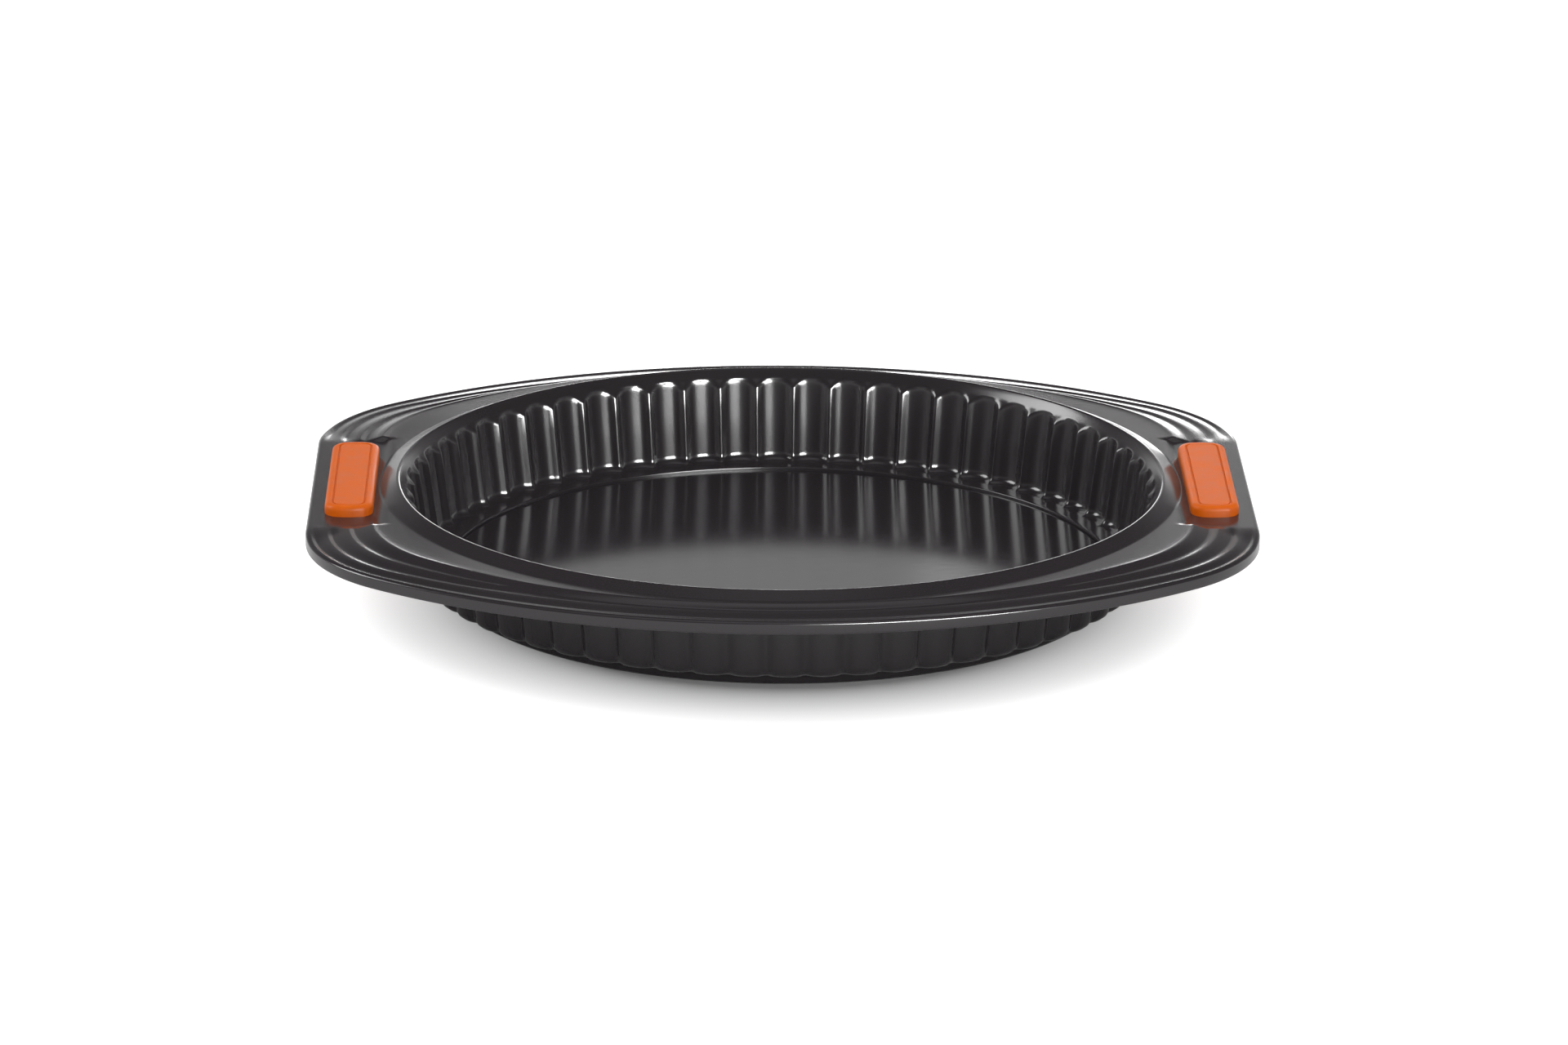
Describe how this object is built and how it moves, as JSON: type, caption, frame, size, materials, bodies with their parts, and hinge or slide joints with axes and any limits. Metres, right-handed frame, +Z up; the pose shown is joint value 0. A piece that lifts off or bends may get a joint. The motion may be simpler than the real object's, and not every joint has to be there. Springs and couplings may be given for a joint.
{
  "type": "quiche tin",
  "caption": "Fluted quiche tin with a lift-out base, a wide stepped flange and soft grips on its ears.",
  "frame": {"origin": "on the surface that the tin stands on, under the middle of its opening", "axes": "+Z up out of the opening, X through the two grips, Y from the front of the flange to the back"},
  "size_m": [0.3426, 0.323, 0.0407],
  "materials": {
    "shell_coating": "satin non-stick coating on pressed steel",
    "base_coating": "satin non-stick coating with a fine grain",
    "grip_silicone": "smooth satin silicone"
  },
  "bodies": {
    "tin": {"tin_shell": "shell_coating", "left_grip": "grip_silicone", "right_grip": "grip_silicone"},
    "base": {"loose_base": "base_coating"}
  },
  "joints": [
    {"name": "base_lift", "type": "slide", "parent": "tin", "child": "base", "axis": [0, 0, 1], "range_m": [0, 0.06]}
  ]
}
